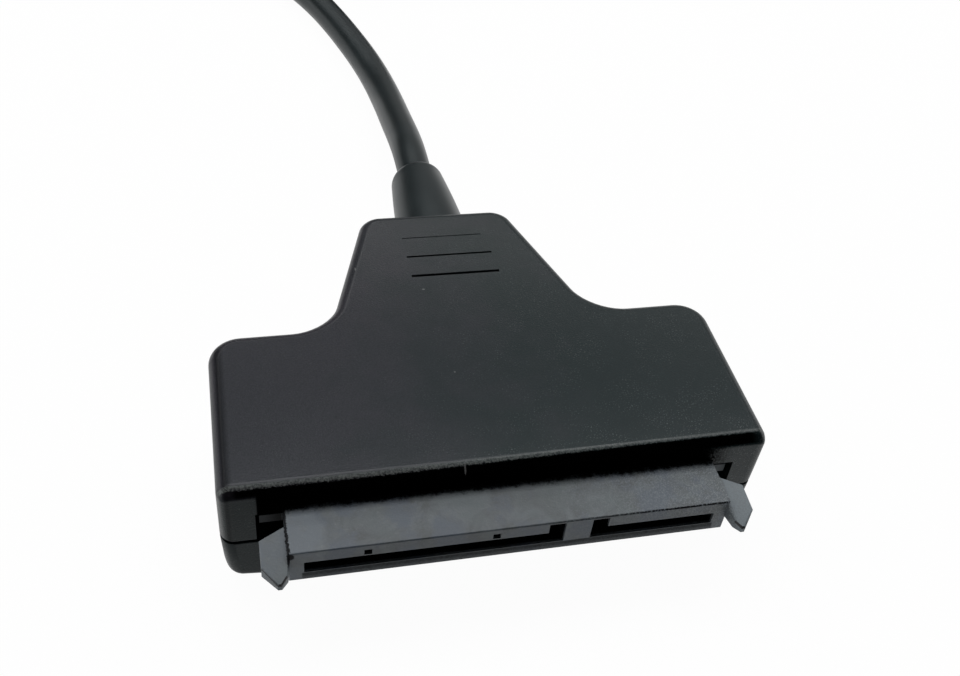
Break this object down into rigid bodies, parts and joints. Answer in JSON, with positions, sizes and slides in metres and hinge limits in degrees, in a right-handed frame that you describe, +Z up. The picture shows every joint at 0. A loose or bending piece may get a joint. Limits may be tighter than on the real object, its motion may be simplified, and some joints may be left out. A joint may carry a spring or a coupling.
{
  "type": "usb to sata adapter",
  "caption": "Flat T-shaped drive adapter: moulded two-part housing with a wide keyed receptacle on one side and a flexible lead with a type A plug on the other.",
  "frame": {"origin": "on the resting surface, under the middle of the housing and receptacle together, the lead and its boot left out", "axes": "+X along the receptacle, +Y towards the lead, +Z up; a drive meets the receptacle from the -Y side"},
  "size_m": [0.058, 0.2188, 0.011],
  "materials": {
    "housing_plastic": "fine moulded grain, black",
    "receptacle_plastic": "smooth moulded, dark blue-grey",
    "contact_metal": "gold flash",
    "board_laminate": "green solder mask",
    "chip_mould": "matt moulded",
    "capacitor_body": "ceramic",
    "plated_metal": "bright plated",
    "boot_rubber": "soft moulded, satin",
    "lead_jacket": "extruded jacket, satin",
    "tie_plastic": "matt",
    "plug_mould": "soft moulded, satin",
    "insert_plastic": "moulded blue",
    "red_insulation": "extruded insulation",
    "black_insulation": "extruded insulation",
    "white_insulation": "extruded insulation",
    "green_insulation": "extruded insulation"
  },
  "bodies": {
    "root": {"upper_shell": "housing_plastic", "lower_shell": "housing_plastic", "receptacle_body": "receptacle_plastic", "power_contact_01": "contact_metal", "power_contact_02": "contact_metal", "power_contact_03": "contact_metal", "power_contact_04": "contact_metal", "power_contact_05": "contact_metal", "power_contact_06": "contact_metal", "power_contact_07": "contact_metal", "power_contact_08": "contact_metal", "power_contact_09": "contact_metal", "power_contact_10": "contact_metal", "power_contact_11": "contact_metal", "power_contact_12": "contact_metal", "power_contact_13": "contact_metal", "power_contact_14": "contact_metal", "power_contact_15": "contact_metal", "signal_contact_01": "contact_metal", "signal_contact_02": "contact_metal", "signal_contact_03": "contact_metal", "signal_contact_04": "contact_metal", "signal_contact_05": "contact_metal", "signal_contact_06": "contact_metal", "signal_contact_07": "contact_metal", "circuit_board": "board_laminate", "bridge_chip": "chip_mould", "flash_chip": "chip_mould", "crystal": "plated_metal", "regulator": "chip_mould", "power_inductor": "chip_mould", "capacitor_1": "capacitor_body", "capacitor_2": "capacitor_body", "capacitor_3": "capacitor_body", "capacitor_4": "capacitor_body", "resistor_1": "chip_mould", "resistor_2": "chip_mould", "strain_relief": "boot_rubber", "power_core": "red_insulation", "ground_core": "black_insulation", "data_minus_core": "white_insulation", "data_plus_core": "green_insulation", "transmit_pair": "white_insulation", "receive_pair": "white_insulation", "cable": "lead_jacket", "cable_coil": "lead_jacket", "cable_tail": "lead_jacket", "cable_tie": "tie_plastic", "plug_grip": "plug_mould", "plug_shell": "plated_metal", "plug_insert": "insert_plastic", "plug_contact_1": "contact_metal", "plug_contact_2": "contact_metal", "plug_contact_3": "contact_metal", "plug_contact_4": "contact_metal", "plug_fast_contact_1": "contact_metal", "plug_fast_contact_2": "contact_metal", "plug_fast_contact_3": "contact_metal", "plug_fast_contact_4": "contact_metal", "plug_fast_contact_5": "contact_metal"}
  },
  "joints": []
}
